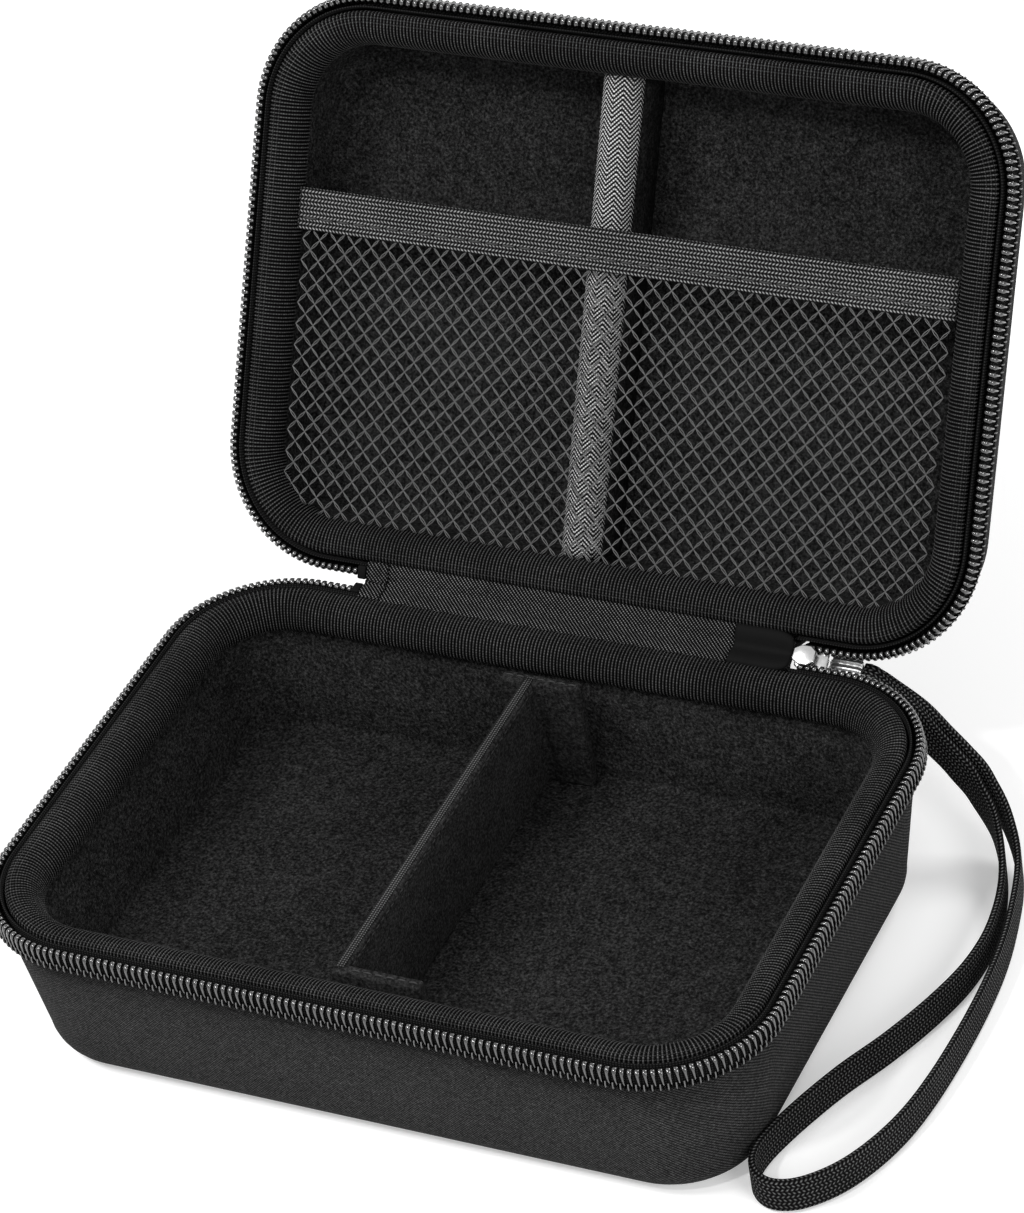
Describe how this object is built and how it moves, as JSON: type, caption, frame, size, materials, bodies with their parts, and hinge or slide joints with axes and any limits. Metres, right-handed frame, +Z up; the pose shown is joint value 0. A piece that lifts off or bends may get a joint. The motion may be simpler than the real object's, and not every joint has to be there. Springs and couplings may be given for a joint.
{
  "type": "trading card case",
  "caption": "Zippered hard-shell card case with a removable divider in the base, a net pocket and padded partition in the lid, and a woven wrist strap on the zipper pull.",
  "frame": {"origin": "centre of the base's underside, on the surface that the case stands on", "axes": "+X along the long side to the right seen from the front, +Y to the back where the hinge is, +Z up; the lid is open, leaning back"},
  "size_m": [0.1933, 0.2036, 0.1475],
  "materials": {
    "shell_fabric": "charcoal twill, fine weave, matte",
    "foam": "moulded closed-cell foam, matte",
    "lining": "short black plush",
    "binding": "ribbed grosgrain, slight sheen",
    "zipper_tape": "woven tape",
    "zipper_coil": "glossy black nylon",
    "webbing": "herringbone webbing",
    "end_tab": "smooth matte coated tab",
    "net": "twisted thread net",
    "elastic": "knitted elastic, fine horizontal ribs",
    "divider_cloth": "dark plush with stitched edges",
    "board": "grey stiffening board",
    "hook_tape": "fine hooks",
    "bright_metal": "bright nickel plate",
    "strap_webbing": "flat braided webbing"
  },
  "bodies": {
    "base": {"base_outer_fabric": "shell_fabric", "base_foam_shell": "foam", "base_lining": "lining", "base_rim_binding": "binding", "base_zipper_tape": "zipper_tape", "base_zipper_coil": "zipper_coil", "base_zipper_stop": "zipper_coil", "hinge_webbing_base": "webbing", "hinge_end_tab_base": "end_tab", "hinge_spine_base": "shell_fabric"},
    "lid": {"lid_outer_fabric": "shell_fabric", "lid_foam_shell": "foam", "lid_lining": "lining", "lid_rim_binding": "binding", "lid_zipper_tape": "zipper_tape", "lid_zipper_coil": "zipper_coil", "lid_zipper_stop": "zipper_coil", "hinge_webbing_lid": "webbing", "hinge_end_tab_lid": "end_tab", "hinge_spine_lid": "shell_fabric", "partition_cover": "webbing", "partition_core": "foam", "pocket_net": "net", "pocket_elastic": "elastic"},
    "divider": {"divider_cover": "divider_cloth", "divider_board": "board", "divider_hook_back": "hook_tape", "divider_hook_front": "hook_tape"},
    "slider": {"slider_body": "bright_metal", "wrist_strap": "strap_webbing"},
    "pull": {"pull_link": "bright_metal", "strap_crimp": "bright_metal"}
  },
  "joints": [
    {"name": "lid_hinge", "type": "hinge", "parent": "base", "child": "lid", "pos_m": [0, 0.0624, 0.0404], "axis": [1, 0, 0], "range_deg": [-12, 119.5]},
    {"name": "divider_shift", "type": "slide", "parent": "base", "child": "divider", "axis": [1, 0, 0], "range_m": [-0.045, 0.045]},
    {"name": "slider_travel", "type": "slide", "parent": "base", "child": "slider", "axis": [1, 0, 0], "range_m": [0, 0.0065]},
    {"name": "pull_swing", "type": "hinge", "parent": "slider", "child": "pull", "pos_m": [0.0508, 0.0638, 0.03798], "axis": [0, 0.866, 0.5], "range_deg": [0, 100]}
  ]
}
